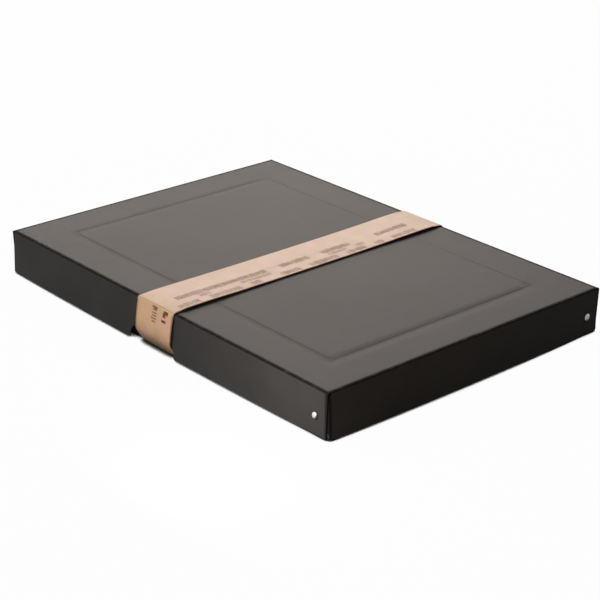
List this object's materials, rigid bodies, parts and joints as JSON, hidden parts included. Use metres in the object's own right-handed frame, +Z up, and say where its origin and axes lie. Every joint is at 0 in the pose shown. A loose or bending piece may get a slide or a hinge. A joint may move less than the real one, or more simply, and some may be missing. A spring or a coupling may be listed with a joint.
{
  "type": "storage box",
  "caption": "Flat riveted board box for large sheets: a tray, a full-depth lift-off lid with a pressed frame line and thumb notches, and a paper band round the closed box.",
  "frame": {"origin": "on the surface that the box rests on, under the middle of the closed box", "axes": "+X along the long side, +Y across the box, +Z up; the side with the visible band leg in the picture faces -Y"},
  "size_m": [0.4482, 0.325, 0.0441],
  "materials": {
    "black_board": "matt, dyed through, with a faint fibre grain",
    "rivet_metal": "bright",
    "kraft_paper": "matt"
  },
  "bodies": {
    "tray": {"tray_board": "black_board", "tray_rivet_front": "rivet_metal", "tray_rivet_right": "rivet_metal", "tray_rivet_back": "rivet_metal", "tray_rivet_left": "rivet_metal"},
    "lid": {"lid_board": "black_board", "lid_rivet_front": "rivet_metal", "lid_rivet_right": "rivet_metal", "lid_rivet_back": "rivet_metal", "lid_rivet_left": "rivet_metal"},
    "upper_band": {"band_over_lid": "kraft_paper"},
    "lower_band": {"band_under_tray": "kraft_paper"}
  },
  "joints": [
    {"name": "lid_lift", "type": "slide", "parent": "tray", "child": "lid", "axis": [0, 0, 1], "range_m": [0, 0.08]},
    {"name": "upper_band_slide", "type": "slide", "parent": "lid", "child": "upper_band", "axis": [1, 0, 0], "range_m": [-0.26, 0.26]},
    {"name": "lower_band_slide", "type": "slide", "parent": "tray", "child": "lower_band", "axis": [1, 0, 0], "range_m": [-0.26, 0.26]}
  ],
  "couplings": [
    {"joint": "lower_band_slide", "follows": "upper_band_slide", "ratio": 1}
  ]
}
